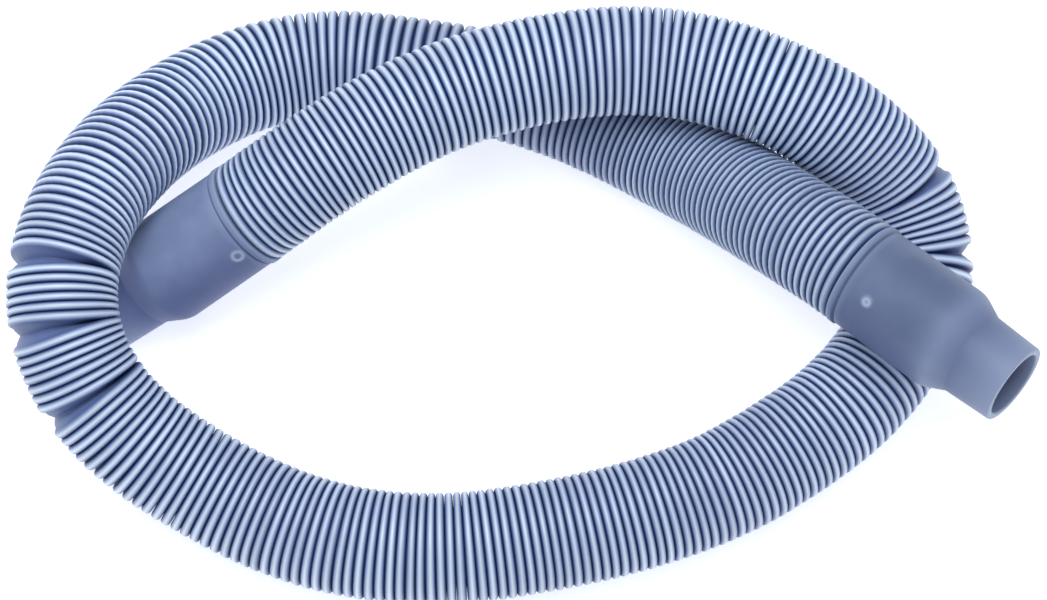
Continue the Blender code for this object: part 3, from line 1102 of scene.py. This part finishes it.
@dataclass
class Studio:
    """The pale floor, the soft lights and the camera."""

    aim: Vector
    finish: StageFinish = field(default_factory=StageFinish)
    elevation: float = 67.0
    distance: float = 1.10
    photo_pixel: float = 0.2727 * MM
    sensor: float = 36.0
    floor_size: float = 8.0
    floor_drop: float = 0.2 * MM
    light_colour: Colour = (0.87, 0.93, 1.0)
    world_strength: float = 0.50
    key_power: float = 11.0
    key_size: float = 0.9
    key_place: tuple[float, float, float] = (-0.10, 0.10, 1.25)

    def place_camera(self) -> None:
        """Place the camera at the photograph's viewing angle."""
        data = bpy.data.cameras.new("camera")
        data.sensor_width = self.sensor
        data.lens = self.sensor * self.distance / (PHOTO_WIDTH * self.photo_pixel)
        camera = bpy.data.objects.new("camera", data)
        bpy.context.scene.collection.objects.link(camera)
        back = direction(-90.0, self.elevation)
        camera.location = self.aim + back * self.distance
        camera.rotation_euler = (-back).to_track_quat("-Z", "Y").to_euler()
        bpy.context.scene.camera = camera

    def lay_floor(self) -> None:
        """Lay the plain pale floor."""
        work = bmesh.new()
        bmesh.ops.create_grid(work, x_segments=1, y_segments=1, size=self.floor_size / 2)
        bmesh.ops.translate(work, vec=(0, 0, -self.floor_drop), verts=work.verts)
        mesh = bpy.data.meshes.new("floor")
        work.to_mesh(mesh)
        work.free()
        floor = bpy.data.objects.new("floor", mesh)
        mesh.materials.append(self.finish.material("floor_paper"))
        bpy.context.scene.collection.objects.link(floor)

    def add_lights(self) -> None:
        """Hang the softbox and light the room evenly, both a little blue."""
        world = bpy.data.worlds.new("room")
        bpy.context.scene.world = world
        world.use_nodes = True
        background = world.node_tree.nodes["Background"]
        background.inputs["Color"].default_value = (*self.light_colour, 1.0)
        background.inputs["Strength"].default_value = self.world_strength
        light = bpy.data.lights.new("softbox", "AREA")
        light.shape = "SQUARE"
        light.size = self.key_size
        light.energy = self.key_power
        light.color = self.light_colour
        lamp = bpy.data.objects.new("softbox", light)
        lamp.location = self.key_place
        lamp.rotation_euler = (-Vector(self.key_place)).to_track_quat("-Z", "Y").to_euler()
        lamp.visible_camera = False
        bpy.context.scene.collection.objects.link(lamp)

    def build(self) -> None:
        """Set up the whole studio."""
        self.place_camera()
        self.lay_floor()
        self.add_lights()
        bpy.context.scene.view_settings.view_transform = "Standard"
        bpy.context.scene.view_settings.look = "None"


def frame_shift(cuff: Cuff) -> Vector:
    """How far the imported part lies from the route's own origin.

    Args:
        cuff: The left cuff at its place on the route.

    Returns:
        The shift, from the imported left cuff's box.
    """
    low, high = cuff.cad_box()
    packed_low, packed_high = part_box(cuff.end.value)
    return ((packed_low + packed_high) - (low + high)) / 2


def main() -> None:
    """Build the scene piece by piece."""
    logging.basicConfig(level=logging.INFO, format="%(name)s: %(message)s")
    sizes = CuffSizes()
    points = np.array(ROUTE) * sizes.hose_radius + np.array([0.0, 0.0, sizes.hose_radius])
    left_facing = direction(LEFT_CUFF_HEADING, sizes.resting_rise(points[0][2]))
    right_facing = direction(RIGHT_CUFF_HEADING, RIGHT_CUFF_RISE)

    # The left cuff gets its own copy of the plastic, painted paler on its body than the right one as
    # painted light, and with more violet painted shade below.
    shaded = CuffFinish(base_colour=(0.205, 0.252, 0.405), pale_colour=(0.290, 0.345, 0.510),
                        painted_shade_colour=(0.086, 0.112, 0.280))
    left = Cuff(End.LEFT, Vector(points[0]), left_facing, shaded, gate_along=4.9 * MM, gate_turn=58.0,
                white_radius=1.4 * MM, white_width=0.55 * MM, shoulder_highlight=0.0, nose_shade=0.65)
    shift = frame_shift(left)
    log.info("the part lies %s from the route's origin", tuple(round(x, 6) for x in shift))
    points = points + np.array(shift)
    left.place = Vector(points[0])
    right = Cuff(End.RIGHT, Vector(points[-1]), right_facing, CuffFinish(), gate_along=9.8 * MM,
                 gate_turn=-42.0, nose_shade=0.35)

    Studio(aim=Vector((0.0, 0.0, 15.0 * MM)) + shift).build()
    line = Centreline(points, -np.array(left_facing), np.array(right_facing))
    bellows = Bellows(line, FilmFinish())
    hose = bellows.build()
    left.build()
    far_cuff = right.build()
    bellows.declare()
    log.info("hose length %.4f m between the cuffs", line.length)


if __name__ == "__main__":
    main()
